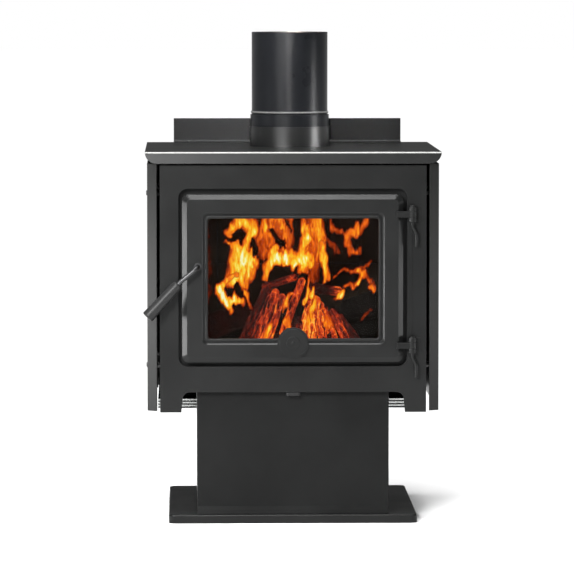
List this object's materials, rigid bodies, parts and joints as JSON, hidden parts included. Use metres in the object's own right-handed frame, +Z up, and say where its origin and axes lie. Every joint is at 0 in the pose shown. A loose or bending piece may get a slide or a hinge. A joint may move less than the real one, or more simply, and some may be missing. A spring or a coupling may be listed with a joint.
{
  "type": "wood burning stove",
  "caption": "Freestanding wood stove on a pedestal, with a hinged glazed door, a turning latch handle, a sliding air control, heat shields and a flue pipe.",
  "frame": {"origin": "on the floor, at the middle of the underside of the base plate", "axes": "+X to the stove's right as seen from the front, +Y to its back, +Z up"},
  "size_m": [0.6324, 0.5989, 1.042],
  "materials": {
    "stove_paint": "satin heat-resistant black",
    "shield_paint": "satin heat-resistant charcoal",
    "galvanised_steel": "galvanised, slightly mottled",
    "fixings": "blackened steel",
    "cast_paint": "satin black over fine cast grain",
    "pipe_paint": "satin blue-black",
    "stainless_steel": "heat-tinted",
    "firebrick": "matt, sooty",
    "baffle_board": "matt fibre board",
    "window_glass": "clear ceramic glass",
    "rope_seal": "knitted grey rope",
    "handle_steel": "burnished steel",
    "grip_paint": "satin black"
  },
  "bodies": {
    "stove": {"air_wash_deflector": "stove_paint", "baffle_boards": "baffle_board", "base_pan": "stove_paint", "base_plate": "stove_paint", "ember_guard": "stove_paint", "firebox_face": "stove_paint", "firebox_floor": "stove_paint", "firebox_left_wall": "stove_paint", "firebox_rear_wall": "stove_paint", "firebox_right_wall": "stove_paint", "firebox_roof": "stove_paint", "floor_bricks": "firebrick", "flue_collar": "cast_paint", "front_plate": "stove_paint", "front_spacers": "fixings", "hinge_brackets": "stove_paint", "hinge_pins": "cast_paint", "hinge_rail": "stove_paint", "latch_catch": "stove_paint", "left_air_manifold": "stainless_steel", "left_bottom_shield": "galvanised_steel", "left_bricks": "firebrick", "left_side_shield": "shield_paint", "pedestal_bolts": "fixings", "pedestal_front": "stove_paint", "pedestal_left": "stove_paint", "pedestal_right": "stove_paint", "pipe_adapter": "pipe_paint", "pipe_liner": "stainless_steel", "pipe_outer_wall": "pipe_paint", "pipe_screws": "fixings", "primary_air_box": "galvanised_steel", "rear_bricks": "firebrick", "rear_heat_shield": "shield_paint", "rear_lip": "stove_paint", "right_air_manifold": "stainless_steel", "right_bottom_shield": "galvanised_steel", "right_bricks": "firebrick", "right_side_shield": "shield_paint", "secondary_air_tubes": "stainless_steel", "sheet_screws": "fixings", "shield_spacers": "fixings", "top_plate": "stove_paint"},
    "door": {"door_frame": "cast_paint", "door_lugs": "cast_paint", "window_trim": "cast_paint", "door_glass": "window_glass", "glass_gasket": "rope_seal", "glass_retainers": "fixings", "door_gasket": "rope_seal", "medallion": "cast_paint", "latch_bushing": "handle_steel", "retainer_screws": "fixings"},
    "latch": {"handle_rod": "handle_steel", "handle_grip": "grip_paint", "latch_cam": "handle_steel", "latch_nut": "fixings"},
    "air_control": {"air_slide": "fixings", "air_tab": "grip_paint"}
  },
  "joints": [
    {"name": "door_swing", "type": "hinge", "parent": "stove", "child": "door", "pos_m": [0.253, -0.276, 0.5205], "axis": [0, 0, 1], "range_deg": [0, 115]},
    {"name": "handle_turn", "type": "hinge", "parent": "door", "child": "latch", "pos_m": [-0.203, -0.276, 0.549], "axis": [0, 1, 0], "range_deg": [0, 90]},
    {"name": "air_pull", "type": "slide", "parent": "stove", "child": "air_control", "axis": [0, -1, 0], "range_m": [0, 0.04]}
  ]
}
